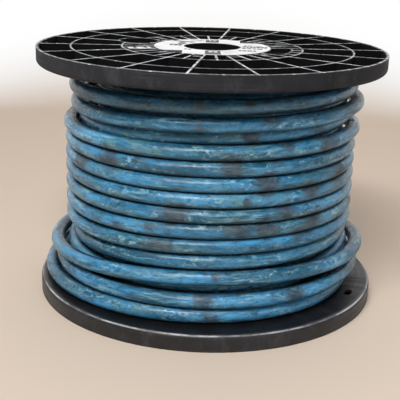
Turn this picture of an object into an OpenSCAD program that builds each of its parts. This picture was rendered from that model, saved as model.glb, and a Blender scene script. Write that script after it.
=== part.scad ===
// Plastic cable reel: two ribbed flanges clamped on a barrel, wound with round cable.
// Millimetres. The reel stands on its lower flange, with its axis on +Z.

/* [Reel] */
// Diameter of the flanges
flange_d = 406.4; // [390:0.1:450]
// Clear width between the flanges
traverse = 254; // [252:0.5:330]
// Height of a flange over its ribs
flange_h = 19.05; // [18:0.05:26]
// Diameter of the arbor hole
arbor_d = 63.5; // [50:0.1:64]
// Outer diameter of the barrel
barrel_d = 210.6; // [208:0.1:216]
// Wall of the barrel
barrel_wall = 4.5; // [3:0.1:6]

/* [Flange moulding] */
// Thickness of the web on the cable side
web_t = 3.2; // [2.4:0.1:4]
// Thickness of the ribs
rib_t = 2.4; // [1.6:0.1:2.8]
// Number of radial ribs that run out to the rim
long_ribs = 18; // [18:18:18]
// Thickness of the rim
rim_t = 3.2; // [2.4:0.1:4]
// Radius of the rim's edge on the cable side
rim_edge_r = 5; // [3:0.5:6]
// Radius of the outer ring rib
ring_r = 164; // [150:0.5:175]
// Radius of the hub plate
hub_r = 69; // [68.5:0.1:69.5]
// Radius of the well round the cable's start hole
well_r = 25.4; // [22:0.1:26]

/* [Fasteners] */
// Number of tie bolts
bolts = 6; // [6:6:6]
// Radius of the bolt circle
bolt_circle_r = 78; // [77:0.5:80]
// Diameter of the tie bolts
bolt_d = 6; // [5:0.5:6]

/* [Cable] */
// Outside diameter of the cable
cable_d = 16.3; // [15:0.1:16.3]
// Height from one turn to the next
pitch = 16.9; // [16.9:0.01:17]
// Radius of the tight turns, to the cable's centre
wind_r = 164; // [163.5:0.1:166]

/* [Hidden] */

eps = 0.01;
flange_r = flange_d / 2;
reel_h = traverse + 2 * flange_h;
top_z = reel_h - flange_h;
arbor_r = arbor_d / 2;
barrel_r = barrel_d / 2;

// Ribs: the long ones stand at rib_az + k * rib_step, the short ones between them.
rib_az = 3.2;
rib_step = 360 / long_ribs;
sleeve_wall = 4;
hub_wall = 3;
hub_rib_inset = 2;
spigot_h = 6;
spigot_wall = 3;
spigot_gap = 0.3;

// The two mouldings are alike: the lower one is turned over about this azimuth.
turn_az = 258.25;
bolt_step = 360 / bolts;
boss_r = 8.6;
boss_top = 12.4;
head_cut_r = 7.2;
plain_boss_az = [48.25, 108.25, 228.25, 288.25];

well_az = 155.8;
well_pos_r = 97.5;
well_wall = 2.4;
start_hole_r = 8.4;
start_hole_pos_r = 111.9;

// The ribs stay a little below the rim, and the hub plate by the label's thickness.
label_t = 0.3;
rib_top = flange_h - 0.4;
hub_top = flange_h - label_t;

// Slot for a tie near the rim.
slot_az = 180.4;
slot_pos_r = 184.7;
slot_w = 8;
slot_len = 16;

// Panel for moulded marks, between two long ribs beside the hub, and its arc rib.
panel_az = [rib_az - 2 * rib_step, rib_az];
panel_r = 92.9;
panel_drop = 5;

// Label ring on the hub, with two opposite corners cut away.
label_r = 68;
label_in_r = 33.2;
label_cut = [33.5, 38];

// Torn strip of paper that lies across the ribs.
strip_r = [74, 101.5];
strip_az = 197.4;
strip_w = 13;

washer_t = 1.6;
washer_r = 6.2;
head_h = 4;
head_af = 10;
nut_h = 3.2;
bolt_below_nut = 0.8;

// ---------- shared helpers ----------

// A wedge of a ring from azimuth a0 to a1.
module arc_ring(r0, r1, z0, z1, a0, a1) {
  rotate([0, 0, a0])
    rotate_extrude(angle = a1 - a0, $fn = 144)
      translate([r0, z0])
        square([r1 - r0, z1 - z0]);
}

module ring(r0, r1, z0, z1) {
  translate([0, 0, z0])
    difference() {
      cylinder(r = r1, h = z1 - z0, $fn = 144);
      translate([0, 0, -1])
        cylinder(r = r0, h = z1 - z0 + 2, $fn = 144);
    }
}

module at(r, az, z = 0) {
  rotate([0, 0, az])
    translate([r, 0, z])
      children();
}

module hexagon(af, h) {
  cylinder(r = af / sqrt(3), h = h, $fn = 6);
}

module each_bolt(z = 0) {
  for (k = [0 : bolts - 1])
    at(bolt_circle_r, turn_az + k * bolt_step, z)
      children();
}

// Turns a flange over, from its place on top to its place below.
module turned_over() {
  rotate([0, 0, turn_az])
    rotate([180, 0, 0])
      rotate([0, 0, -turn_az])
        children();
}

// ---------- flange moulding: cable side on z = 0, ribs up ----------

// Web and rim as one turned section, with a round edge on the cable side.
module flange_shell() {
  edge_c = flange_r - rim_edge_r;
  rotate_extrude($fn = 180)
    polygon(concat(
      [[hub_r - hub_wall / 2, web_t], [hub_r - hub_wall / 2, 0]],
      [for (a = [-90 : 15 : 0]) [edge_c + rim_edge_r * cos(a), rim_edge_r + rim_edge_r * sin(a)]],
      [[flange_r, flange_h], [flange_r - rim_t, flange_h], [flange_r - rim_t, web_t]]
    ));
}

module ring_plan(r0, r1) {
  difference() {
    circle(r = r1, $fn = 144);
    circle(r = r0, $fn = 144);
  }
}

// A sector from azimuth a0 to a1, under 90 degrees.
module sector_plan(r, a0, a1) {
  polygon([[0, 0], [r * cos(a0), r * sin(a0)], 1.2 * r * [cos((a0 + a1) / 2), sin((a0 + a1) / 2)],
    [r * cos(a1), r * sin(a1)]]);
}

module radial_rib_plan(az, r1) {
  r0 = hub_r - hub_wall / 2;
  rotate(az)
    translate([r0, -rib_t / 2])
      square([r1 - r0, rib_t]);
}

// Everything that stands up from the web, seen from above.
module rib_plan() {
  difference() {
    union() {
      ring_plan(ring_r - rib_t / 2, ring_r + rib_t / 2);
      ring_plan(barrel_r - rib_t / 2, barrel_r + rib_t / 2);
      difference() {
        for (k = [0 : long_ribs - 1]) {
          radial_rib_plan(rib_az + k * rib_step, flange_r - rim_t / 2);
          radial_rib_plan(rib_az + (k + 0.5) * rib_step, barrel_r);
        }
        panel_plan();
      }
      intersection() {
        ring_plan(panel_r - rib_t / 2, panel_r + rib_t / 2);
        sector_plan(1.2 * panel_r, panel_az[0], panel_az[1]);
      }
      for (k = [0 : bolts - 1])
        boss_plan(turn_az + k * bolt_step);
      for (az = plain_boss_az)
        boss_plan(az);
      rotate(well_az)
        translate([well_pos_r, 0])
          circle(r = well_r, $fn = 96);
    }
    rotate(well_az)
      translate([well_pos_r, 0])
        circle(r = well_r - well_wall, $fn = 96);
  }
}

module boss_plan(az) {
  rotate(az)
    translate([bolt_circle_r, 0])
      circle(r = boss_r, $fn = 48);
}

// The panel's floor, between two long ribs, from the hub to the arc rib.
module panel_plan() {
  side = asin(rib_t / 2 / hub_r);
  intersection() {
    circle(r = panel_r, $fn = 144);
    sector_plan(1.2 * panel_r, panel_az[0] + side, panel_az[1] - side);
  }
}

module panel() {
  z1 = flange_h - panel_drop;
  difference() {
    translate([0, 0, z1 - rib_t])
      linear_extrude(height = rib_t)
        intersection() {
          circle(r = panel_r, $fn = 144);
          sector_plan(1.2 * panel_r, panel_az[0], panel_az[1]);
        }
    cylinder(r = hub_r - hub_wall / 2, h = flange_h, $fn = 144);
  }
}

// Sleeve, plate and wall of the hub as one turned section, open to the barrel's inside.
module hub() {
  wall_r = hub_r - hub_wall;
  rotate_extrude($fn = 144)
    polygon([[arbor_r, 0], [arbor_r + sleeve_wall, 0], [arbor_r + sleeve_wall, hub_top - web_t],
      [wall_r, hub_top - web_t], [wall_r, 0], [hub_r, 0], [hub_r, hub_top], [arbor_r, hub_top]]);
  for (k = [0 : 5])
    at(arbor_r + sleeve_wall / 2, turn_az + k * 60, hub_rib_inset)
      translate([0, -rib_t / 2, 0])
        cube([hub_r - hub_wall / 2 - arbor_r - sleeve_wall / 2, rib_t, flange_h - 2 * hub_rib_inset]);
}

module flange() {
  difference() {
    union() {
      flange_shell();
      translate([0, 0, web_t / 2])
        linear_extrude(height = rib_top - web_t / 2)
          rib_plan();
      hub();
      panel();
      ring(barrel_r - barrel_wall - spigot_gap - spigot_wall, barrel_r - barrel_wall - spigot_gap,
        -spigot_h, web_t / 2);
    }
    // bolt holes, and the room for heads, washers and nuts
    each_bolt(-1)
      cylinder(r = bolt_d / 2 + 0.3, h = flange_h + 2, $fn = 32);
    each_bolt(boss_top)
      cylinder(r = head_cut_r, h = flange_h, $fn = 48);
    // start hole in the well, and tie slot near the rim
    at(start_hole_pos_r, well_az, -1)
      cylinder(r = start_hole_r, h = web_t + 2, $fn = 48);
    at(slot_pos_r, slot_az, -1)
      tie_slot();
  }
}

module tie_slot() {
  half = (slot_len - slot_w) / 2;
  for (s = [-1, 1])
    translate([0, s * half, 0])
      cylinder(r = slot_w / 2, h = web_t + 2, $fn = 32);
  translate([-slot_w / 2, -half, 0])
    cube([slot_w, 2 * half, web_t + 2]);
}

// ---------- sub-parts ----------

module upper_flange() {
  color("#2c2a2b")
    translate([0, 0, top_z])
      flange();
}

module lower_flange() {
  color("#2c2a2b")
    translate([0, 0, flange_h])
      turned_over()
        flange();
}

module barrel() {
  color("#3a3839")
    ring(barrel_r - barrel_wall, barrel_r, flange_h, top_z);
}

module tie_bolts() {
  z_head = top_z + boss_top + washer_t;
  z_end = flange_h - boss_top - washer_t - nut_h - bolt_below_nut;
  color("#c9ccd0")
    each_bolt() {
      translate([0, 0, z_end])
        cylinder(r = bolt_d / 2, h = z_head - z_end + eps, $fn = 32);
      translate([0, 0, z_head])
        hexagon(head_af, head_h);
    }
}

module washer() {
  difference() {
    cylinder(r = washer_r, h = washer_t, $fn = 48);
    translate([0, 0, -1])
      cylinder(r = bolt_d / 2 + 0.2, h = washer_t + 2, $fn = 32);
  }
}

module bolt_washers() {
  color("#b9bcc0")
    each_bolt(top_z + boss_top)
      washer();
}

module nut_washers() {
  color("#b9bcc0")
    each_bolt(flange_h - boss_top - washer_t)
      washer();
}

module tie_nuts() {
  color("#c9ccd0")
    each_bolt(flange_h - boss_top - washer_t - nut_h)
      difference() {
        hexagon(head_af, nut_h);
        translate([0, 0, -1])
          cylinder(r = bolt_d / 2, h = nut_h + 2, $fn = 32);
      }
}

module centre_label() {
  color("#e9ecef")
    translate([0, 0, reel_h - label_t])
      difference() {
        cylinder(r = label_r, h = label_t, $fn = 144);
        translate([0, 0, -1])
          cylinder(r = label_in_r, h = label_t + 2, $fn = 144);
        for (turn = [0, 180])
          rotate([0, 0, turn])
            translate([label_cut[0], label_cut[1], -1])
              cube([label_r, label_r, label_t + 2]);
      }
}

// Three torn pieces of one strip, end to end.
module label_strip() {
  ends = [0, 0.33, 0.36, 0.95];
  len = strip_r[1] - strip_r[0];
  color("#e9ecef")
    at(strip_r[0], strip_az, top_z + rib_top)
      for (k = [0, 2])
        translate([len * ends[k], -strip_w / 2, 0])
          cube([len * (ends[k + 1] - ends[k]), strip_w, label_t]);
}

// ---------- cable ----------

// The outer layer is one tube. Its route has four stations a turn, on the left, at the
// front, on the right and at the back. A station is [radius, height] and azimuth grows
// with the route, so the cable goes down as it goes round.
quarter = 90;
rings = 24;
tube_sides = 6;
cable_r = cable_d / 2;
floor_z = flange_h + cable_r + 0.2;

// Turns that don't lie as the rule says, as [stand-off, height] at the left, front,
// right and back. A stand-off is measured from the tight radius. The first two turns
// under the upper flange have sunk in, the third has slipped down into the lower
// layers, and the fourth stands off a little. Below the tight turns the first slack one
// draws in at the left, the second dives under the third at the front, and the last
// three lie loose on the lower flange.
top_turns = [
  [[-7, -23], [0, -20.1], [0, -16.5], [1, -23]],
  [[-8, -43.5], [0, -39.2], [7.5, -34.5], [-9.5, -41.5]],
  [[-17.5, -61], [-10.5, -54], [-7, -50.5], [-7.5, -60.5]],
  [[0.5, -67], [0, -67.9], [5, -65.5], [0, -76.4]]
];
diving_out = -13;
slack_turns = [
  [[-8.5, 49.5], [-1, 58.7], [-3, 58.7], [1, 50]],
  [[-2, 33], [diving_out, 27.5], [0, 40], [9, 34.5]],
  [[19, 31], [2, 41.1], [19, 36.6], [15, 18]],
  [[12, 14], [8, 17.2], [14, 15.5], [23, 2]],
  [[26, 0], [7, 0], [2, 0], [-1, 0]]
];

// The route begins deep in the lower layers, close under the upper flange.
start_turn = [[-20, -10.5], [-19, -12]];

// Tight turns fill the height between the others, one pitch apart. They lean a little to
// the right, and the lower ones sag a little more at the left with each turn.
sunk_depth = 68.1;
slack_height = 59.1;
first_tight_z = top_z - sunk_depth - pitch;
last_tight_z = floor_z + slack_height + pitch;
tight_turns = round((first_tight_z - last_tight_z) / pitch) + 1;
tight_pitch = (first_tight_z - last_tight_z) / (tight_turns - 1);
lean = 1;
sag_step = 2.3;
even_turns = 3;

// Stations in the order of the route, from the start at the back.
function sag(k) = sag_step * max(0, k + 1 - even_turns);
function tight_turn(z, sag) = [[-lean, z - sag], [0, z], [lean, z], [0, z - tight_pitch / 2]];
function placed(turns, z) = [for (t = turns) for (s = t) [wind_r + s[0], z + s[1]]];
stations = concat(
  placed([start_turn], top_z),
  placed(top_turns, top_z),
  placed([for (k = [0 : tight_turns - 1]) tight_turn(first_tight_z - k * tight_pitch, sag(k))], 0),
  placed(slack_turns, floor_z)
);

// Smooth curve through the stations: u counts stations, and station 0 is at azimuth 0.
function station(i) = stations[max(0, min(len(stations) - 1, i))];
function blend(p0, p1, p2, p3, t) =
  p1 + 0.5 * t * (p2 - p0 + t * (2 * p0 - 5 * p1 + 4 * p2 - p3 + t * (3 * (p1 - p2) + p3 - p0)));
function route_rz(u) = let (i = floor(u)) blend(station(i - 1), station(i), station(i + 1), station(i + 2), u - i);
function route(u) = let (p = route_rz(u), az = u * quarter) [p[0] * cos(az), p[0] * sin(az), p[1]];

// Both ends run straight and level for one cable diameter.
u_start = 0.6;
u_end = len(stations) - 1.25;
steps = round((u_end - u_start) * rings / 4);
mid_points = [for (k = [0 : steps]) route(u_start + k * (u_end - u_start) / steps)];
function unit(v) = v / norm(v);
function heading(u) = [-sin(u * quarter), cos(u * quarter), 0];
points = concat(
  [mid_points[0] - heading(u_start) * cable_d],
  mid_points,
  [mid_points[steps] + heading(u_end) * cable_d]
);
last = len(points) - 1;

function tangent(i) =
  i == 0 ? heading(u_start)
  : i == last ? heading(u_end)
  : unit(unit(points[i + 1] - points[i]) + unit(points[i] - points[i - 1]));

// One ring of the tube: its first corner points away from the reel's axis.
function tube_ring(i) =
  let (
    t = tangent(i),
    out = unit([points[i][0], points[i][1], 0]),
    a = unit(out - (out * t) * t),
    b = cross(t, a)
  )
  [for (s = [0 : tube_sides - 1]) points[i] + cable_r * (cos(60 * s) * a + sin(60 * s) * b)];

// Least distance between two parts of the route that are over half a turn apart.
far = rings / 2;
gaps = [for (i = [0 : last]) for (j = [i + far : last]) norm(points[i] - points[j])];
echo(least_gap = min(gaps) - cable_d);
lengths = [for (i = [1 : last]) norm(points[i] - points[i - 1])];
function total(v, i = 0) = i == len(v) ? 0 : v[i] + total(v, i + 1);
echo(cable_length_m = total(lengths) / 1000, rings = last + 1);

module cable_winding() {
  n = tube_sides;
  verts = [for (i = [0 : last]) for (p = tube_ring(i)) p];
  sides = [
    for (i = [0 : last - 1]) for (s = [0 : n - 1])
      let (a = i * n + s, b = i * n + (s + 1) % n)
      each [[a, a + n, b], [b, a + n, b + n]]
  ];
  caps = [
    for (s = [1 : n - 2])
      each [[0, s, s + 1], [last * n, last * n + s + 1, last * n + s]]
  ];
  color("#4a7ba0")
    polyhedron(points = verts, faces = concat(sides, caps));
}

// The lower layers as one plain body. Its lower part is smaller, where a slack turn dives
// in, and so is its upper part, where the first turns of the outer layer have sunk in.
// The shoulder there bulges to the right, where they haven't. The last lower turn climbs
// to the upper flange and ends in a flat face, where the outer layer's tube begins.
function inside_turn(r) = r * cos(180 / rings) - cable_r - 0.8;
core_r = inside_turn(wind_r - lean);
core_lower_r = inside_turn(wind_r + diving_out);
core_upper_r = inside_turn(wind_r + start_turn[0][0]);
core_lower_height = 68.5;
core_step_depth = 73;
core_top_depth = 12;
shoulder_depth = 20.5;
shoulder_bulge = 7;
shoulder_r = core_upper_r + shoulder_bulge;
shoulder_shift = 5.5;
shoulder_az = -20;
climb_depth = 30.5;
climb_root = 6;
climb_gap = 0.3;
core_lower_z = floor_z + core_lower_height;
core_step_z = top_z - core_step_depth;
core_top_z = top_z - core_top_depth;
climb_r = core_r - 1.4;
climb_z = top_z - climb_depth;

module core_shoulder() {
  difference() {
    at(shoulder_shift, shoulder_az, core_step_z - 2)
      cylinder(r = shoulder_r, h = core_step_depth - shoulder_depth + 2, $fn = 144);
    translate([0, 0, flange_h])
      cylinder(r = barrel_r + 3, h = traverse, $fn = 144);
  }
}

module cable_core() {
  az = u_start * quarter;
  color("#3c6a86") {
    ring(barrel_r, core_lower_r, flange_h, core_lower_z + 1);
    ring(barrel_r, core_r, core_lower_z, core_step_z);
    ring(barrel_r, core_upper_r, core_step_z - 1, core_top_z);
    core_shoulder();
    difference() {
      arc_ring(core_upper_r - climb_root, climb_r, climb_z, top_z - climb_gap, az - 40, az);
      rotate([0, 0, az])
        translate([0, -cable_d, climb_z - 1])
          cube([flange_r, flange_r, climb_depth + 2]);
    }
  }
}

// Three insulated cores stand out of the cable's cut end, and their copper a little further.
cores = 3;
core_ins_r = 2.7;
core_cu_r = 1.5;
core_circle_r = 3.4;
ins_len = 5;
cu_len = 8;

module each_core_at_end() {
  end_rz = route_rz(u_end);
  at(end_rz[0], u_end * quarter, end_rz[1])
    translate([0, cable_d, 0])
      rotate([-90, 0, 0])
        for (k = [0 : cores - 1])
          at(core_circle_r, 90 + k * 360 / cores)
            children();
}

module core_insulation() {
  color("#7a5a3a")
    each_core_at_end()
      difference() {
        cylinder(r = core_ins_r, h = ins_len, $fn = 32);
        translate([0, 0, -1])
          cylinder(r = core_cu_r, h = ins_len + 2, $fn = 32);
      }
}

module core_conductors() {
  color("#b8734a")
    each_core_at_end()
      cylinder(r = core_cu_r, h = cu_len, $fn = 32);
}

lower_flange();
upper_flange();
barrel();
tie_bolts();
bolt_washers();
nut_washers();
tie_nuts();
centre_label();
label_strip();
cable_core();
cable_winding();
core_insulation();
core_conductors();
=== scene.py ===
"""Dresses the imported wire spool: a black plastic reel wound with worn blue cable.

Metres, the reel's axis on +Z, standing on its lower flange. Azimuth grows from +X
towards +Y and the camera looks along +Y.
"""

import math
import random

import bpy
from mathutils import Matrix, Vector, noise
from mathutils.bvhtree import BVHTree


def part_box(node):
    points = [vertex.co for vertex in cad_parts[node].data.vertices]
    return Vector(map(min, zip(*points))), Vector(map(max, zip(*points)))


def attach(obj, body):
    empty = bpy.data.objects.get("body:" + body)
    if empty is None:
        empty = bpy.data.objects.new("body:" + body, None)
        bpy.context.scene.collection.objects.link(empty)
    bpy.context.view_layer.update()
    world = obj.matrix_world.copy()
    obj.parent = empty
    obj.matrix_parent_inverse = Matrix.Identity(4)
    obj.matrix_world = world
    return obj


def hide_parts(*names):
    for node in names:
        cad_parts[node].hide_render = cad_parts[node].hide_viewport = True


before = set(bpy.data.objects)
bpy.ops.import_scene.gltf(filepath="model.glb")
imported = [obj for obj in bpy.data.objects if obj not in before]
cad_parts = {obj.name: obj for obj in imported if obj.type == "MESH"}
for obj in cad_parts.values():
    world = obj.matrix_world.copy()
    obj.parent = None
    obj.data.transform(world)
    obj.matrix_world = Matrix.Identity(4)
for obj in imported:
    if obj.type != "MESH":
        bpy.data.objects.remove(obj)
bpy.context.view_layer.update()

MM = 0.001

# ---------- the reel's sizes, as in the part's source ----------

FLANGE_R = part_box("upper_flange")[1][0]
REEL_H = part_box("upper_flange")[1][2]
FLANGE_H = 19.05 * MM
TOP_Z = REEL_H - FLANGE_H
RIB_AZ, RIB_STEP = 3.2, 20
RIB_TOP = REEL_H - 0.4 * MM
HUB_R = 69 * MM
BARREL_R = 105.3 * MM
RING_R = 164 * MM
EDGE_R = 5 * MM
STRIP_AZ = 197.4

CABLE_D = 16.3 * MM
CABLE_R = CABLE_D / 2
PITCH = 16.9 * MM
WIND_R = 164 * MM
FLOOR_Z = FLANGE_H + CABLE_R + 0.2 * MM

# ---------- camera, fitted to the photograph's 400 x 400 frame ----------

FRAME_PX = 400
FOCAL_PX = 878.8
CAMERA_AT = Vector((0, -1.0340, 0.4264))
CAMERA_PITCH, CAMERA_YAW, CAMERA_ROLL = 0.30244, -0.00889, 0.02862


def camera_axes():
    """Right, up and forward of the camera."""
    cp, sp = math.cos(CAMERA_PITCH), math.sin(CAMERA_PITCH)
    cy, sy = math.cos(CAMERA_YAW), math.sin(CAMERA_YAW)
    forward = Vector((sy * cp, cy * cp, -sp))
    right = Vector((cy, -sy, 0))
    up = right.cross(forward)
    cr, sr = math.cos(CAMERA_ROLL), math.sin(CAMERA_ROLL)
    return cr * right + sr * up, cr * up - sr * right, forward


def make_camera():
    data = bpy.data.cameras.new("camera")
    data.sensor_fit = "HORIZONTAL"
    data.sensor_width = 36
    data.lens = FOCAL_PX * data.sensor_width / FRAME_PX
    camera = bpy.data.objects.new("camera", data)
    right, up, forward = camera_axes()
    turn = Matrix((right, up, -forward)).transposed().to_4x4()
    camera.matrix_world = Matrix.Translation(CAMERA_AT) @ turn
    bpy.context.collection.objects.link(camera)
    bpy.context.scene.camera = camera


make_camera()


# ---------- materials ----------

def srgb(r, g, b):
    """A colour as a screen shows it, 0 to 255, in the linear values that nodes take."""
    def linear(v):
        v /= 255
        return v / 12.92 if v <= 0.04045 else ((v + 0.055) / 1.055) ** 2.4
    return linear(r), linear(g), linear(b), 1


# The radius at which marks round the axis are measured.
AROUND_R = 200 * MM


class Shader:
    """A material with one Principled shader, and short calls for its nodes."""

    def __init__(self, name, **values):
        self.material = bpy.data.materials.new(name)
        self.material.use_nodes = True
        self.tree = self.material.node_tree
        self.shader = self.tree.nodes["Principled BSDF"]
        for socket, value in values.items():
            self.set(socket.replace("_", " "), value)

    def set(self, socket, value):
        self.put(self.shader.inputs[socket], value)

    def put(self, socket, value):
        if isinstance(value, bpy.types.NodeSocket):
            self.tree.links.new(value, socket)
        else:
            socket.default_value = value

    def node(self, kind, inputs=(), **settings):
        node = self.tree.nodes.new("ShaderNode" + kind)
        for key, value in settings.items():
            setattr(node, key, value)
        for key, value in dict(inputs).items():
            self.put(node.inputs[key], value)
        return node

    def maths(self, operation, a, b=0.0):
        return self.node("Math", {0: a, 1: b}, operation=operation).outputs[0]

    def times(self, a, b):
        return self.maths("MULTIPLY", a, b)

    def plus(self, a, b):
        return self.maths("ADD", a, b)

    def minus(self, a, b):
        return self.maths("SUBTRACT", a, b)

    def most(self, a, b):
        return self.maths("MAXIMUM", a, b)

    def above(self, a, b):
        return self.maths("GREATER_THAN", a, b)

    def below(self, a, b):
        return self.maths("LESS_THAN", a, b)

    def place(self):
        """Metres in the row frame."""
        return self.node("TexCoord").outputs["Object"]

    def split_place(self):
        return self.node("SeparateXYZ", {0: self.place()}).outputs

    def height(self):
        return self.split_place()[2]

    def radius(self):
        """Metres out from the reel's axis."""
        x, y = self.split_place()[:2]
        return self.maths("SQRT", self.plus(self.times(x, x), self.times(y, y)))

    def azimuth(self):
        x, y = self.split_place()[:2]
        return self.maths("ARCTAN2", y, x)

    def around(self):
        """Metres around the axis, out from it and up: for marks that follow the turning."""
        arc = self.times(self.azimuth(), AROUND_R)
        return self.node("CombineXYZ", {0: arc, 1: self.radius(), 2: self.height()}).outputs[0]

    def noise(self, vector, scale, detail=3, roughness=0.5, distortion=0):
        """Noise of so many waves a metre, or of three such numbers, one for each direction."""
        if isinstance(scale, tuple):
            vector = self.node("Mapping", {"Vector": vector, "Scale": scale}).outputs[0]
            scale = 1
        values = {"Vector": vector, "Scale": scale, "Detail": detail, "Roughness": roughness,
                  "Distortion": distortion}
        return self.node("TexNoise", values).outputs["Fac"]

    def ramp(self, value, low, high, out_low=0.0, out_high=1.0):
        """Smooth step of value from low to high."""
        values = {"Value": value, "From Min": low, "From Max": high, "To Min": out_low,
                  "To Max": out_high}
        return self.node("MapRange", values, interpolation_type="SMOOTHSTEP").outputs[0]

    def mix(self, share, a, b):
        node = self.node("Mix", data_type="RGBA")
        for index, value in ((0, share), (6, a), (7, b)):
            self.put(node.inputs[index], value)
        return node.outputs[2]

    def bump(self, height, distance, strength=1.0, normal=None):
        values = {"Height": height, "Distance": distance, "Strength": strength}
        if normal is not None:
            values["Normal"] = normal
        return self.node("Bump", values).outputs[0]


# The ribs' tops, the rings and the rim are pale, most along a thin line: rubbed by handling, and brightened
# as a painted highlight.
RIB_RUB_SHEEN_W, LINE_W = 2.6 * MM, 1.5 * MM
FACE_RUB_SHEEN, LINE_RUB_SHEEN = 0.2, 0.8
RUB_SHEEN_FROM_R, RIM_LINE_R = 87 * MM, FLANGE_R - 1.1 * MM

# How far off the face or the edge that it follows each mask begins.
TOP_MARGIN, HUB_MARGIN = 0.05 * MM, 0.1 * MM
POCKET_MARGIN, RIM_MARGIN, WEB_MARGIN = 0.3 * MM, 2 * MM, 0.5 * MM

# The painted highlight on the round edge: its angle above the level, and how far to both sides it fades.
EDGE_SHINE_AT, EDGE_SHINE_FROM, EDGE_SHINE_TO = (math.radians(a) for a in (52, 4, 16))


def rubbed_lit_tops(s):
    """How pale the tops of the ribs, the rings and the rim are, up to 1: partly rubbed by handling, partly
    painted highlight.

    Inside RUB_SHEEN_FROM_R only the radial ribs are pale, and not the flat bosses between them.
    """
    radius = s.radius()
    step = math.radians(RIB_STEP / 2)
    count = s.maths("DIVIDE", s.minus(s.azimuth(), math.radians(RIB_AZ)), step)
    off_rib = s.times(s.times(s.maths("PINGPONG", count, 0.5), step), radius)
    on_rib = s.below(off_rib, RIB_RUB_SHEEN_W / 2)
    outside = s.times(s.above(radius, RUB_SHEEN_FROM_R), FACE_RUB_SHEEN)
    for ring in (BARREL_R, RING_R, RIM_LINE_R):
        off_ring = s.maths("ABSOLUTE", s.minus(radius, ring))
        outside = s.most(outside, s.times(s.below(off_ring, LINE_W / 2), LINE_RUB_SHEEN))
    high = s.above(s.height(), RIB_TOP - TOP_MARGIN)
    off_hub = s.above(radius, HUB_R + HUB_MARGIN)
    return s.times(s.times(high, off_hub), s.most(on_rib, outside))


def in_pockets(s):
    """1 on the upper flange below its ribs' tops and inside its rim, which is painted near-black as shade.
    """
    low = s.below(s.height(), RIB_TOP - POCKET_MARGIN)
    return s.times(low, s.below(s.radius(), FLANGE_R - RIM_MARGIN))


def on_web(s):
    """1 on the lower flange's smooth upper face under the cable, which is painted near-black as shade and
    kept free of dust.
    """
    high = s.above(s.height(), FLANGE_H - WEB_MARGIN)
    return s.times(high, s.below(s.radius(), FLANGE_R - EDGE_R))


def edge_highlight(s):
    """How bright the painted highlight along the lower flange's round upper edge is, in long broken
    streaks.
    """
    out = s.minus(s.radius(), FLANGE_R - EDGE_R)
    up = s.minus(s.height(), FLANGE_H - EDGE_R)
    off = s.maths("ABSOLUTE", s.minus(s.maths("ARCTAN2", up, out), EDGE_SHINE_AT))
    band = s.times(s.ramp(off, EDGE_SHINE_FROM, EDGE_SHINE_TO, 1.0, 0.0), s.above(out, 0))
    streaks = s.noise(s.around(), (14, 30, 60), detail=5, roughness=0.75)
    return s.times(band, s.ramp(streaks, 0.4, 0.6, 0.16, 1.0))


def plastic(name, tint, gloss, dust, shine, upper=False, lower=False):
    """Moulded black plastic: satin, scuffed along the turning, and dusty, with painted shade and painted
    highlights on the flanges.
    """
    cloudy, scuffed, scratched = srgb(38, 39, 44), srgb(72, 73, 78), srgb(130, 130, 130)
    dusty, rubbed, edge_shine = srgb(82, 76, 70), srgb(74, 77, 84), srgb(190, 190, 192)
    worn, bare_sheen = srgb(120, 121, 124), srgb(222, 224, 226)
    pocket_shade, web_shade = srgb(8, 8, 9), srgb(10, 10, 11)
    s = Shader(name, Specular_IOR_Level=shine)
    place, around = s.place(), s.around()
    cloud = s.noise(place, 13, detail=5, roughness=0.6)
    grain = s.noise(place, 900, detail=2)
    scuff = s.noise(around, (16, 200, 420), detail=5, roughness=0.65)
    scratch = s.ramp(s.noise(around, (9, 700, 900), detail=3, roughness=0.7), 0.63, 0.72)
    dirt = s.times(s.ramp(s.noise(place, 30, detail=6, roughness=0.7), 0.5, 0.7), dust)
    rubs = s.ramp(s.noise(around, (60, 1, 26), detail=5, roughness=0.7), 0.48, 0.7)

    colour = s.mix(s.ramp(cloud, 0.36, 0.68), tint, cloudy)
    colour = s.mix(s.times(s.ramp(scuff, 0.52, 0.78), 0.2), colour, scuffed)
    colour = s.mix(s.times(scratch, 0.3), colour, scratched)
    colour = s.mix(dirt, colour, dusty)
    colour = s.mix(s.times(rubs, 0.4), colour, rubbed)
    rough = s.plus(s.ramp(scuff, 0.3, 0.8, gloss, gloss + 0.18), s.times(s.most(dirt, rubs), 0.2))
    if upper:
        pocket = in_pockets(s)
        # Painted shade: the pockets between the ribs are made near-black and free of dust.
        colour = s.mix(s.times(pocket, 0.97), colour, pocket_shade)
        rough = s.plus(rough, s.times(pocket, 0.45))
        # Pale tops of the ribs, rings and rim: wear from handling, and painted highlight.
        wear_sheen = s.ramp(s.noise(place, 75, detail=5, roughness=0.7), 0.36, 0.6)
        colour = s.mix(rubbed_lit_tops(s), colour, s.mix(wear_sheen, worn, bare_sheen))
    if lower:
        # Painted shade under the cable: the web is made near-black and free of dust.
        colour = s.mix(s.times(on_web(s), 0.85), colour, web_shade)
        # Painted highlight along the lower flange's round upper edge.
        colour = s.mix(edge_highlight(s), colour, edge_shine)
    s.set("Base Color", colour)
    s.set("Roughness", rough)
    relief = s.plus(s.times(grain, 0.35), s.times(scratch, 0.8))
    s.set("Normal", s.bump(relief, 0.12 * MM, 0.6))
    return s.material


def zinc():
    """Zinc-plated steel, dulled in patches."""
    bright, dull = srgb(150, 151, 153), srgb(96, 94, 90)
    s = Shader("zinc_plated_steel", Metallic=1.0)
    patch = s.noise(s.place(), 160, detail=4, roughness=0.6)
    s.set("Base Color", s.mix(s.ramp(patch, 0.35, 0.7), bright, dull))
    s.set("Roughness", s.ramp(patch, 0.3, 0.75, 0.38, 0.6))
    s.set("Normal", s.bump(s.noise(s.place(), 1500, detail=2), 0.03 * MM, 0.5))
    return s.material


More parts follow.
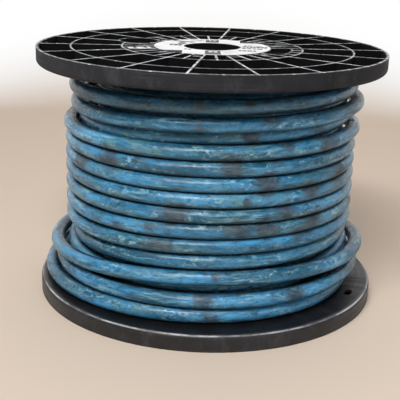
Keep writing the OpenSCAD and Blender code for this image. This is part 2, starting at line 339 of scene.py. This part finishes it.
def paper():
    """Aged paper label: fibres, grey handling marks and a few stains."""
    white, off_white = srgb(250, 250, 250), srgb(238, 239, 240)
    handled, stained = srgb(150, 151, 153), srgb(176, 160, 138)
    s = Shader("label_paper", Roughness=0.62)
    place = s.place()
    fibre = s.noise(place, (900, 300, 300), detail=3, roughness=0.6)
    marks = s.ramp(s.noise(place, 42, detail=5, roughness=0.65), 0.44, 0.68)
    stains = s.ramp(s.noise(place, 17), 0.6, 0.7)
    colour = s.mix(s.ramp(fibre, 0.3, 0.7), white, off_white)
    colour = s.mix(s.times(marks, 0.3), colour, handled)
    colour = s.mix(s.times(stains, 0.3), colour, stained)
    s.set("Base Color", colour)
    s.set("Normal", s.bump(fibre, 0.05 * MM, 0.5))
    return s.material


def print_ink(name, solid, worn):
    """Label print, worn through in specks."""
    s = Shader(name, Roughness=0.5)
    specks = s.ramp(s.noise(s.place(), 420, detail=4, roughness=0.7), 0.58, 0.66)
    s.set("Base Color", s.mix(specks, solid, worn))
    return s.material


def film_and_rubs(s, along, colour, torn, grime_share):
    """The colour with a grey-green film in torn stretches and pale rubbed streaks, and the streaks."""
    filmed, rubbed = srgb(88, 132, 138), srgb(130, 182, 200)
    stretch = s.ramp(s.noise(along, (9, 20, 1), detail=4, roughness=0.6), 0.47, 0.6)
    film = s.times(s.ramp(torn, 0.45, 0.55), s.plus(s.times(stretch, 0.78), 0.06))
    colour = s.mix(s.times(film, grime_share), colour, filmed)
    streak = s.noise(along, (34, 300, 1), detail=6, roughness=0.72, distortion=0.5)
    where = s.ramp(s.noise(along, (13, 60, 1), detail=5, roughness=0.65), 0.45, 0.6)
    rubs = s.times(s.ramp(streak, 0.48, 0.6), where)
    return s.mix(s.times(rubs, 0.75), colour, rubbed), streak


def frosted(s, along, colour):
    """The colour with clusters of dark pits and pale nicks."""
    pitted, nicked = srgb(22, 56, 72), srgb(166, 204, 212)
    frost = s.noise(along, (120, 200, 1), detail=6, roughness=0.72, distortion=0.9)
    where = s.ramp(s.noise(along, (12, 44, 1), detail=5, roughness=0.65), 0.47, 0.57)
    pits = s.times(s.ramp(frost, 0.47, 0.38), s.times(where, 0.7))
    nicks = s.times(s.ramp(frost, 0.54, 0.62), where)
    return s.mix(s.times(nicks, 0.7), s.mix(pits, colour, pitted), nicked)


def dirt_and_shade_below(s, along, torn, grime_share):
    """How dark the jacket is with dirt in smears, and with painted shade on the half that faces down."""
    under = s.node("Attribute", attribute_name="under").outputs["Fac"]
    smear = s.ramp(s.noise(along, (16, 90, 1), detail=7, roughness=0.78), 0.5, 0.62)
    low = s.ramp(s.plus(under, s.times(s.minus(torn, 0.5), 1.6)), 0.3, 0.9)
    return s.times(s.most(s.times(smear, 0.5), low), 0.8 * grime_share)


def dirt_patches(s, along, grime_share):
    """How dark the jacket is with thick grime, in patches with ragged edges."""
    grime = s.node("Attribute", attribute_name="grime").outputs["Fac"]
    ragged = s.noise(s.place(), 150, detail=6, roughness=0.8)
    blot = s.noise(along, (44, 60, 1), detail=5, roughness=0.7, distortion=0.8)
    edge = s.plus(s.times(ragged, 0.7), s.times(blot, 1.1))
    patch = s.ramp(s.plus(s.times(grime, 0.9), edge), 1.08, 1.55)
    return s.times(patch, 0.74 * grime_share)


# Painted shadow of the upper flange lies on the top turn, close under the flange.
FLANGE_SHADOW_FROM_Z, FLANGE_SHADOW_AT_Z = TOP_Z - 34 * MM, TOP_Z - 24 * MM


def cable_jacket(name, grime_share=1.0):
    """Blue PVC jacket: colour drifts along the cable, under film, rubs, frost, grime and painted shade.

    The map "along" holds metres along the cable and around it. "grime" is how dirty a
    place is, and "groove" and "under" how far it faces the reel's axis and the ground.
    """
    dull_blue, blue, handled = srgb(26, 90, 118), srgb(72, 154, 204), srgb(22, 64, 86)
    dirty, caked, caked_dark = srgb(38, 48, 54), srgb(72, 74, 76), srgb(38, 40, 43)
    shaded, shadowed = srgb(18, 30, 38), srgb(8, 22, 34)
    s = Shader(name)
    along = s.node("UVMap", uv_map="along").outputs[0]
    groove = s.node("Attribute", attribute_name="groove").outputs["Fac"]
    torn = s.noise(along, (52, 130, 1), detail=7, roughness=0.78, distortion=0.9)
    drift = s.noise(along, (6, 34, 1), detail=5, roughness=0.65)
    mottle = s.noise(along, (70, 150, 1), detail=6, roughness=0.75, distortion=0.4)

    colour = s.mix(s.ramp(drift, 0.38, 0.62), dull_blue, blue)
    colour = s.mix(s.times(s.ramp(mottle, 0.47, 0.64), 0.6), colour, handled)
    colour, streak = film_and_rubs(s, along, colour, torn, grime_share)
    colour = frosted(s, along, colour)

    dark = dirt_and_shade_below(s, along, torn, grime_share)
    patch = dirt_patches(s, along, grime_share)
    # Dirt smears, and painted shade on the half of each turn that faces down.
    colour = s.mix(dark, colour, dirty)
    colour = s.mix(patch, colour, s.mix(s.ramp(mottle, 0.4, 0.6), caked, caked_dark))
    colour = s.mix(s.times(groove, 0.8), colour, shaded)
    # Painted shadow of the upper flange on the top turn.
    flange_shadow = s.times(s.ramp(s.height(), FLANGE_SHADOW_FROM_Z, FLANGE_SHADOW_AT_Z), 0.36)
    s.set("Base Color", s.mix(flange_shadow, colour, shadowed))

    rough = s.ramp(torn, 0.35, 0.65, 0.2, 0.38)
    s.set("Roughness", s.plus(rough, s.times(s.most(patch, dark), 0.25)))
    dents = s.noise(along, (55, 90, 1))
    relief = s.plus(s.times(streak, 0.5), s.times(torn, 0.7))
    s.set("Normal", s.bump(relief, 0.6 * MM, 0.6, s.bump(dents, 2.2 * MM, 0.5)))
    return s.material


def insulation():
    brown, light_brown = srgb(120, 84, 52), srgb(150, 112, 74)
    s = Shader("core_insulation_plastic", Roughness=0.42)
    tone = s.noise(s.place(), 300)
    s.set("Base Color", s.mix(tone, brown, light_brown))
    s.set("Normal", s.bump(tone, 0.04 * MM, 0.5))
    return s.material


def copper():
    bright, dull = srgb(204, 128, 88), srgb(156, 92, 62)
    s = Shader("copper_wire", Metallic=1.0)
    tone = s.noise(s.place(), 700)
    s.set("Base Color", s.mix(tone, bright, dull))
    s.set("Roughness", s.ramp(tone, 0.3, 0.7, 0.26, 0.45))
    return s.material


FLANGE_TOP = plastic("upper_flange_plastic", srgb(30, 30, 34), gloss=0.58, dust=0.2, shine=0.2, upper=True)
FLANGE_LOW = plastic("lower_flange_plastic", srgb(29, 28, 29), gloss=0.34, dust=0.25, shine=0.4, lower=True)
BARREL = plastic("barrel_plastic", srgb(36, 35, 36), gloss=0.4, dust=0.5, shine=0.5)
ZINC = zinc()
PAPER = paper()
INK = print_ink("label_ink", srgb(44, 46, 50), srgb(150, 152, 155))
INK_GREY = print_ink("label_ink_grey", srgb(118, 121, 124), srgb(176, 178, 181))
JACKET = cable_jacket("cable_jacket_blue")
JACKET_INNER = cable_jacket("cable_jacket_inner", grime_share=0.6)


def repaint(node, material):
    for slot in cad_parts[node].material_slots:
        slot.material = material


repaint("upper_flange", FLANGE_TOP)
repaint("lower_flange", FLANGE_LOW)
repaint("barrel", BARREL)
for steel in ("tie_bolts", "bolt_washers", "nut_washers", "tie_nuts"):
    repaint(steel, ZINC)
repaint("centre_label", PAPER)
repaint("label_strip", PAPER)
repaint("core_insulation", insulation())
repaint("core_conductors", copper())


# ---------- mesh helpers ----------

def add_piece(name, verts, faces, material, smooth=False):
    """A mesh piece that rides with the reel."""
    mesh = bpy.data.meshes.new(name)
    mesh.from_pydata([tuple(v) for v in verts], [], faces)
    mesh.materials.append(material)
    mesh.polygons.foreach_set("use_smooth", [smooth] * len(mesh.polygons))
    mesh.update()
    piece = bpy.data.objects.new(name, mesh)
    bpy.context.collection.objects.link(piece)
    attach(piece, "root")
    return piece


def polar(r, az, z):
    return Vector((r * math.cos(math.radians(az)), r * math.sin(math.radians(az)), z))


# ---------- cable ----------

# The same route as the part's source: stations as [stand-off, height] in millimetres,
# at the left, front, right and back of each turn.
START_TURN = [[-20, -10.5], [-19, -12]]
TOP_TURNS = [
    [[-7, -23], [0, -20.1], [0, -16.5], [1, -23]],
    [[-8, -43.5], [0, -39.2], [7.5, -34.5], [-9.5, -41.5]],
    [[-17.5, -61], [-10.5, -54], [-7, -50.5], [-7.5, -60.5]],
    [[0.5, -67], [0, -67.9], [5, -65.5], [0, -76.4]],
]
SLACK_TURNS = [
    [[-8.5, 49.5], [-1, 58.7], [-3, 58.7], [1, 50]],
    [[-2, 33], [-13, 27.5], [0, 40], [9, 34.5]],
    [[19, 31], [2, 41.1], [19, 36.6], [15, 18]],
    [[12, 14], [8, 17.2], [14, 15.5], [23, 2]],
    [[26, 0], [7, 0], [2, 0], [-1, 0]],
]
FIRST_TIGHT_Z = TOP_Z - 68.1 * MM - PITCH
LAST_TIGHT_Z = FLOOR_Z + 59.1 * MM + PITCH
TIGHT_TURNS = round((FIRST_TIGHT_Z - LAST_TIGHT_Z) / PITCH) + 1
TIGHT_PITCH = (FIRST_TIGHT_Z - LAST_TIGHT_Z) / (TIGHT_TURNS - 1)
LEAN, SAG_STEP, EVEN_TURNS = 1 * MM, 2.3 * MM, 3
QUARTER = math.pi / 2


def placed(turns, z):
    return [(WIND_R + out * MM, z + up * MM) for turn in turns for out, up in turn]


def tight_stations():
    stations = []
    for k in range(TIGHT_TURNS):
        z = FIRST_TIGHT_Z - k * TIGHT_PITCH
        sag = SAG_STEP * max(0, k + 1 - EVEN_TURNS)
        stations += [(WIND_R - LEAN, z - sag), (WIND_R, z), (WIND_R + LEAN, z),
                     (WIND_R, z - TIGHT_PITCH / 2)]
    return stations


STATIONS = (placed([START_TURN], TOP_Z) + placed(TOP_TURNS, TOP_Z) + tight_stations()
            + placed(SLACK_TURNS, FLOOR_Z))

# The ends of the layer, in quarter turns from azimuth 0, where the first station stands.
U_START, U_END = 0.6, len(STATIONS) - 1.25


def blend(p0, p1, p2, p3, t):
    """Smooth curve from p1 to p2, that comes from p0 and goes on to p3."""
    return p1 + 0.5 * t * (p2 - p0 + t * (2 * p0 - 5 * p1 + 4 * p2 - p3 + t * (3 * (p1 - p2) + p3 - p0)))


def route_rz(u):
    """Radius and height of the cable's centre, u quarter turns along."""
    i = math.floor(u)
    near = [STATIONS[max(0, min(len(STATIONS) - 1, i + k))] for k in (-1, 0, 1, 2)]
    return [blend(*(p[axis] for p in near), u - i) for axis in (0, 1)]


def heading(u):
    return Vector((-math.sin(u * QUARTER), math.cos(u * QUARTER), 0))


def on_route(u, rz):
    return Vector((rz[0] * math.cos(u * QUARTER), rz[0] * math.sin(u * QUARTER), rz[1]))


def outer_route(per_turn):
    """The outer layer's centreline, which runs straight for one diameter at each end."""
    steps = round((U_END - U_START) * per_turn / 4)
    points = []
    for k in range(steps + 1):
        u = U_START + k * (U_END - U_START) / steps
        points.append(on_route(u, route_rz(u)))
    return ([points[0] - heading(U_START) * CABLE_D] + points
            + [points[-1] + heading(U_END) * CABLE_D])


# The layer under it climbs from the lower flange to the upper one. It lies deeper where a
# slack turn dives in, and again where the first turns of the outer layer have sunk in, but
# bulges there to the right: (depth under the upper flange, bulge), in millimetres.
DEEP_R, FULL_R, SUNK_R = 132.6 * MM, 144.5 * MM, 126.5 * MM
RIGHT_BULGE, BULGE_AZ = [(0, 25), (30, 27), (36, 27), (50, 12), (62, 23), (90, 21)], -20
FULL_FROM_Z = FLOOR_Z + 58.6 * MM
SUNK_FROM_Z = TOP_Z - 85 * MM
SUNK_TOP_Z = TOP_Z - 20.5 * MM
INNER_TURNS, LAST_CLIMB, END_CLEAR = 13.9, 0.5, 1.6


def right_bulge(z):
    depth = (TOP_Z - z) / MM
    for (from_depth, bulge), (to_depth, next_bulge) in zip(RIGHT_BULGE, RIGHT_BULGE[1:]):
        if depth <= to_depth:
            return (bulge + (next_bulge - bulge) * (depth - from_depth) / (to_depth - from_depth)) * MM
    return RIGHT_BULGE[-1][1] * MM


def smooth_step(share):
    share = max(0, min(1, share))
    return share * share * (3 - 2 * share)


def inner_route(per_turn):
    """The layer below, up to where the outer layer's tube begins. It starts at the back."""
    even_turns = INNER_TURNS - LAST_CLIMB
    end_r, end_z = route_rz(U_START)
    points = []
    steps = round(INNER_TURNS * per_turn)
    for k in range(steps + 1):
        done = INNER_TURNS * k / steps
        u = U_START + 4 * (done - INNER_TURNS)
        z = FLOOR_Z + (SUNK_TOP_Z - FLOOR_Z) * done / even_turns
        to_right = max(0, math.cos(u * QUARTER - math.radians(BULGE_AZ)))
        sunk_r = SUNK_R + right_bulge(z) * to_right ** 2
        r = DEEP_R + smooth_step((z - FULL_FROM_Z) / PITCH) * (FULL_R - DEEP_R)
        r += smooth_step((z - SUNK_FROM_Z) / PITCH) * (sunk_r - FULL_R)
        climb = smooth_step((done - even_turns) / LAST_CLIMB)
        points.append(on_route(u, (r + climb * (end_r - r), z + climb * (end_z - z))))
    end = points[-1] - heading(U_START) * CABLE_D
    clear = END_CLEAR * CABLE_D
    before_end = per_turn // 2
    last_half = [p for p in points[-before_end:] if (p - points[-1]).length > clear]
    return points[:-before_end] + last_half + [end]


# How fast the jacket's swelling varies along the cable and round it. "groove" is 0 where the
# cosine of the angle from the axis' side is under -GROOVE_AT, and 1 from GROOVE_FADE above that.
SWELLS_ALONG, SWELLS_ROUND = 22, 2.2
GROOVE_AT, GROOVE_FADE = 0.42, 0.5


def tube(points, radius, sides, ripple):
    """Verts, faces, (along, around) of each face corner, and each vertex's groove and under.

    A ring's first corner points to the reel's axis, so the map's seam lies inside.
    """
    verts, groove, under, along = [], [], [], []
    run = 0
    last = len(points) - 1
    for i, point in enumerate(points):
        ahead, behind = points[min(last, i + 1)], points[max(0, i - 1)]
        tangent = (ahead - behind).normalized()
        if i:
            run += (point - points[i - 1]).length
        inward = Vector((-point.x, -point.y, 0)).normalized()
        a = (inward - inward.dot(tangent) * tangent).normalized()
        b = tangent.cross(a)
        along.append(run)
        for side in range(sides):
            angle = 2 * math.pi * side / sides
            way = math.cos(angle) * a + math.sin(angle) * b
            swell_at = (run * SWELLS_ALONG, SWELLS_ROUND * math.cos(angle), SWELLS_ROUND * math.sin(angle))
            verts.append(point + (radius + ripple * noise.noise(Vector(swell_at))) * way)
            groove.append(max(0, min(1, (math.cos(angle) + GROOVE_AT) / GROOVE_FADE)))
            under.append(max(0, -way.z))
    faces, maps = [], []
    width = 2 * math.pi * radius / sides
    for i in range(last):
        here, there = i * sides, (i + 1) * sides
        for side in range(sides):
            after = (side + 1) % sides
            faces.append((here + side, here + after, there + after, there + side))
            maps.append([(along[i], side * width), (along[i], (side + 1) * width),
                         (along[i + 1], (side + 1) * width), (along[i + 1], side * width)])
    for ring, order in ((0, range(sides - 1, -1, -1)), (last, range(sides))):
        faces.append([ring * sides + side for side in order])
        maps.append([(along[ring], side * width) for side in order])
    return verts, faces, maps, {"groove": groove, "under": under}


def cable_piece(name, points, sides, material, ripple):
    verts, faces, maps, values = tube(points, CABLE_R, sides, ripple)
    piece = add_piece(name, verts, faces, material, smooth=True)
    mesh = piece.data
    for face in mesh.polygons:
        face.use_smooth = len(face.vertices) == 4
    layer = mesh.uv_layers.new(name="along")
    for face, corners in zip(mesh.polygons, maps):
        for loop, corner in zip(face.loop_indices, corners):
            layer.data[loop].uv = corner
    for kind, value in values.items():
        mesh.attributes.new(kind, "FLOAT", "POINT").data.foreach_set("value", value)
    return piece


# Grime patches that the photograph shows, each as its pixel and its size in millimetres, and
# the same kind scattered where rays from OUTSIDE_R meet the sides that it doesn't show.
GRIME_SEEN = [
    (198, 132, 9), (203, 107, 5), (271, 120, 8), (252, 138, 9), (288, 147, 8), (232, 168, 11),
    (268, 185, 13), (278, 162, 5), (246, 203, 6), (286, 212, 10), (175, 215, 14), (238, 230, 13),
    (266, 229, 12), (150, 243, 7), (165, 246, 8), (297, 233, 11), (216, 277, 6), (204, 300, 11),
    (297, 297, 12), (211, 320, 9), (108, 158, 13), (140, 158, 7), (148, 228, 8), (117, 226, 8),
    (312, 220, 13), (247, 105, 6), (330, 140, 15), (340, 172, 15), (82, 158, 13), (310, 189, 10),
]
GRIME_HIDDEN, HIDDEN_AZ, HIDDEN_SIZE = 44, (-20, 200), (6, 13)
HIDDEN_Z, OUTSIDE_R = (FLANGE_H + 6 * MM, TOP_Z - 25 * MM), 400 * MM

# A patch fades out at GRIME_REACH times its size, ends GRIME_RISE times its size above and
# below, and stays where the way out from the axis is the same: SAME_SIDE is a cosine.
GRIME_REACH, GRIME_RISE, SAME_SIDE = 1.9, 1.6, 0.9
TOP_TURN_DEPTH, TOP_TURN_GRIME_SHADE = 31 * MM, 0.36


def grime_places(surface):
    right, up, forward = camera_axes()
    places = []
    for x, y, size in GRIME_SEEN:
        ray = forward + (x - FRAME_PX / 2) / FOCAL_PX * right - (y - FRAME_PX / 2) / FOCAL_PX * up
        hit = surface.ray_cast(CAMERA_AT, ray.normalized())[0]
        if hit:
            places.append((hit, size * MM))
    rng = random.Random(7)
    for k in range(GRIME_HIDDEN):
        az, z = rng.uniform(*HIDDEN_AZ), rng.uniform(*HIDDEN_Z)
        hit = surface.ray_cast(polar(OUTSIDE_R, az, z), -polar(1, az, 0))[0]
        if hit:
            places.append((hit, rng.uniform(*HIDDEN_SIZE) * MM))
    return places


def add_grime(piece):
    """Sets how dirty each vertex is, by its distance to the patches. The whole top turn gets a base value,
    partly dirt and partly painted shade under the flange.
    """
    mesh = piece.data
    surface = BVHTree.FromPolygons([v.co for v in mesh.vertices], [p.vertices for p in mesh.polygons])
    # The top turn: grime, and painted shade under the upper flange.
    values = [TOP_TURN_GRIME_SHADE if v.co.z > TOP_Z - TOP_TURN_DEPTH else 0.0 for v in mesh.vertices]
    for centre, size in grime_places(surface):
        outward = Vector((centre.x, centre.y, 0)).normalized()
        for v in mesh.vertices:
            away = v.co - centre
            if away.length > GRIME_REACH * size or abs(away.z) > GRIME_RISE * size:
                continue
            if Vector((v.co.x, v.co.y, 0)).normalized().dot(outward) >= SAME_SIDE:
                values[v.index] = max(values[v.index], 1 - away.length / (GRIME_REACH * size))
    mesh.attributes.new("grime", "FLOAT", "POINT").data.foreach_set("value", values)


TURN_RINGS = 110
OUTER_SIDES, OUTER_RIPPLE = 20, 0.12 * MM
INNER_RINGS, INNER_SIDES, INNER_RIPPLE = 60, 14, 0.1 * MM

outer_points = outer_route(TURN_RINGS)
winding = cable_piece("cable_outer_turns", outer_points, OUTER_SIDES, JACKET, OUTER_RIPPLE)
add_grime(winding)
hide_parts("cable_winding")

inner_points = inner_route(INNER_RINGS)
inner = cable_piece("cable_inner_turns", inner_points, INNER_SIDES, JACKET_INNER, INNER_RIPPLE)
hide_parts("cable_core")


# ---------- label print and paper flecks ----------

PRINT_T = 0.05 * MM
STRIP_PRINT_R = (78.5, 94)


def slab(verts, faces, outline, z, thickness):
    """Adds a flat slab over an outline given in millimetres."""
    first, n = len(verts), len(outline)
    for level in (z, z + thickness):
        verts += [Vector((x * MM, y * MM, level)) for x, y in outline]
    faces.append([first + n + k for k in range(n)])
    faces.append([first + k for k in reversed(range(n))])
    faces += [(first + k, first + (k + 1) % n, first + n + (k + 1) % n, first + n + k) for k in range(n)]


def bar_row(start, end, height, widths):
    """Outlines of generic bars in a row from start to end: widths are bar, gap, bar and so on."""
    start, end = Vector(start), Vector(end)
    scale = (end - start).length / sum(widths)
    way = (end - start).normalized()
    up = Vector((-way.y, way.x)) * height / 2
    outlines, run = [], 0
    for k, width in enumerate(widths):
        a, b = start + run * scale * way, start + (run + width) * scale * way
        if k % 2 == 0:
            outlines.append([tuple(p) for p in (a - up, b - up, b + up, a + up)])
        run += width
    return outlines


def add_print(name, material, outlines, z):
    verts, faces = [], []
    for outline in outlines:
        slab(verts, faces, outline, z, PRINT_T)
    add_piece(name, verts, faces, material)


def label_print():
    """Generic bars and blocks on the label and on the torn strip beside it, in millimetres."""
    dark = [
        [(-8, -36), (-8, -66), (10, -66), (9, -36)],
        [(-8, 36), (8, 36), (8, 60), (-8, 60)],
    ]
    dark += bar_row((36, 5), (64, 1), 11, (5, 1, 4, 1, 5, 1, 4, 1, 6, 1, 5, 1, 4))
    dark += bar_row((35, -9), (58, -13), 7, (4, 1, 5, 1, 4, 1, 6))
    dark += bar_row((30, -29), (50, -30), 8, (4, 1, 5, 1, 6, 1, 4))
    dark += bar_row((-50, 8), (-36, 6), 12, (4, 1, 5, 1, 4))
    dark += bar_row((-32, -27), (-24, -30), 6, (3, 1, 3))
    grey = [
        [(-36, 40), (-30, 20), (-36, 10), (-41, 14), (-40, 30)],
        [(-50, 41), (-24, 30), (-20, 38), (-45, 50)],
    ]
    grey += bar_row((38, 17), (58, 14), 4, (2, 1, 3, 1, 1, 1, 4))
    grey += bar_row((-26, 46), (-12, 52), 4, (3, 1, 2, 1, 4))
    add_print("label_print", INK, dark, REEL_H)
    add_print("label_print_grey", INK_GREY, grey, REEL_H)

    pale = bar_row((-4, -46), (6, -46), 8, (3, 1, 3))
    pale += bar_row((-4, 52), (4, 52), 7, (1, 1, 1))
    add_print("label_print_pale", PAPER, pale, REEL_H + PRINT_T)

    inner_end, outer_end = (polar(r, STRIP_AZ, 0).xy for r in STRIP_PRINT_R)
    on_strip = bar_row(inner_end, outer_end, 12, (3, 9, 3.5))
    add_print("strip_print", INK, on_strip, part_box("label_strip")[1][2])


# Torn bits of paper left on the ribs: each is its distance out, azimuth and size, in
# millimetres and degrees. FLECK_REACH is how uneven they are, and FLECK_DEPTH how flat.
FLECKS = [(131, 203.2, 3.2), (138, 203.2, 2.6), (80, 43.2, 3.4), (73, 203.2, 3.0), (79, 183.2, 2.8)]
FLECK_CORNERS, FLECK_REACH, FLECK_DEPTH, FLECK_T = 7, (0.7, 1.25), 0.6, 0.3 * MM


def paper_flecks():
    verts, faces = [], []
    rng = random.Random(3)
    for r, az, size in FLECKS:
        centre = polar(r, az, 0)
        outline = []
        for k in range(FLECK_CORNERS):
            a = 2 * math.pi * k / FLECK_CORNERS
            reach = size / 2 * rng.uniform(*FLECK_REACH)
            outline.append((centre.x + reach * math.cos(a), centre.y + FLECK_DEPTH * reach * math.sin(a)))
        slab(verts, faces, outline, RIB_TOP, FLECK_T)
    add_piece("paper_flecks", verts, faces, PAPER)


label_print()
paper_flecks()


# ---------- stage ----------

# The floor bends up into a wall behind the reel, and turns white between two radii.
FLOOR_HALF, WALL_Y, WALL_H, BEND_R, BEND_STEPS = 14, 1.5, 3, 0.5, 12
FLOOR_GAP = 0.2 * MM
WHITE_FROM_R, WHITE_AT_R = 1.05, 1.45
FLOOR_COLOUR = srgb(224, 206, 188)


def make_floor():
    """A plain pale floor that sweeps up into a white backdrop behind the reel."""
    line = [(-FLOOR_HALF, 0), (WALL_Y - BEND_R, 0)]
    for k in range(1, BEND_STEPS + 1):
        a = k / BEND_STEPS * math.pi / 2
        line.append((WALL_Y - BEND_R + BEND_R * math.sin(a), BEND_R - BEND_R * math.cos(a)))
    line.append((WALL_Y, WALL_H))
    verts = [(x, y, z - FLOOR_GAP) for y, z in line for x in (-FLOOR_HALF, FLOOR_HALF)]
    faces = [(2 * i, 2 * i + 1, 2 * i + 3, 2 * i + 2) for i in range(len(line) - 1)]
    mesh = bpy.data.meshes.new("floor")
    mesh.from_pydata(verts, [], faces)
    mesh.polygons.foreach_set("use_smooth", [True] * len(faces))
    mesh.materials.append(floor_paint())
    floor = bpy.data.objects.new("floor", mesh)
    bpy.context.collection.objects.link(floor)


def floor_paint():
    """Pale paint. Away from the reel it is plain white to the camera and in reflections."""
    s = Shader("floor_pale", Roughness=0.7)
    s.set("Base Color", FLOOR_COLOUR)
    path = s.node("LightPath").outputs
    reflected = s.most(path["Is Glossy Ray"], path["Is Transmission Ray"])
    seen = s.most(path["Is Camera Ray"], reflected)
    share = s.times(seen, s.ramp(s.radius(), WHITE_FROM_R, WHITE_AT_R))
    white = s.node("Emission", {"Color": (1, 1, 1, 1), "Strength": 1.0}).outputs[0]
    surface = s.node("MixShader", {0: share, 1: s.shader.outputs[0], 2: white}).outputs[0]
    s.tree.links.new(surface, s.tree.nodes["Material Output"].inputs["Surface"])
    return s.material


SKY_COLOUR, SKY_STRENGTH = (0.93, 0.96, 1, 1), 0.32
COOL_WHITE = (0.95, 0.97, 1)


def make_world():
    world = bpy.data.worlds.new("studio")
    world.use_nodes = True
    light = world.node_tree.nodes["Background"]
    light.inputs["Color"].default_value = SKY_COLOUR
    light.inputs["Strength"].default_value = SKY_STRENGTH
    bpy.context.scene.world = world


def make_lamp(name, place, target, size, power, colour=(1, 1, 1)):
    """A rectangular lamp of so many watts at a place, turned to a target."""
    data = bpy.data.lights.new(name, "AREA")
    data.shape = "RECTANGLE"
    data.size, data.size_y = size
    data.energy = power
    data.color = colour
    lamp = bpy.data.objects.new(name, data)
    lamp.location = place
    lamp.rotation_euler = (Vector(target) - Vector(place)).to_track_quat("-Z", "Y").to_euler()
    bpy.context.collection.objects.link(lamp)


make_floor()
make_world()
make_lamp("key", place=(-0.42, -1.25, 1.62), target=(0, 0, 0.08), size=(1.1, 0.35), power=31)
make_lamp("fill", place=(0.9, -1.5, 0.5), target=(0, 0, 0.08), size=(1, 0.6), power=2, colour=COOL_WHITE)
make_lamp("back", place=(0.4, 1.1, 1.9), target=(0, 0, 0.29), size=(1.6, 0.8), power=8)
bpy.context.scene.view_settings.view_transform = "Standard"
